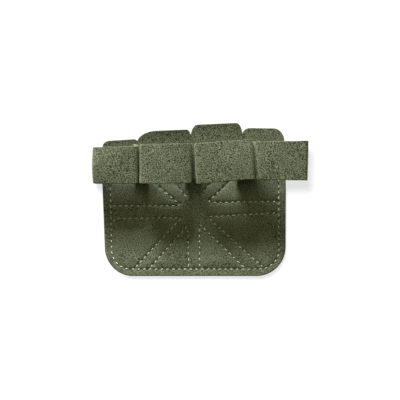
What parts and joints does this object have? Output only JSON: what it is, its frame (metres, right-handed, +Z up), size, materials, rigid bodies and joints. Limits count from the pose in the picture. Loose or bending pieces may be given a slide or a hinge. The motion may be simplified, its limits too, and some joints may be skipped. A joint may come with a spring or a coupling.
{
  "type": "weightlifting palm grip",
  "caption": "Suede palm grip for the left hand: a padded, quilted palm with finger tabs and a sewn-on strap that stands up in finger loops.",
  "frame": {"origin": "on the surface that the grip lies on, under the middle of its box", "axes": "+X from the little finger to the index finger, +Y towards the finger tips, +Z up, away from the surface"},
  "size_m": [0.1182, 0.0842, 0.0151],
  "materials": {
    "outer_suede": "napped olive suede",
    "inner_suede": "napped olive suede, quilted",
    "strap_suede": "coarse napped olive suede",
    "thread": "pale sage sewing thread"
  },
  "bodies": {
    "root": {"outer_palm": "outer_suede", "inner_palm": "inner_suede", "finger_strap": "strap_suede"}
  },
  "joints": []
}
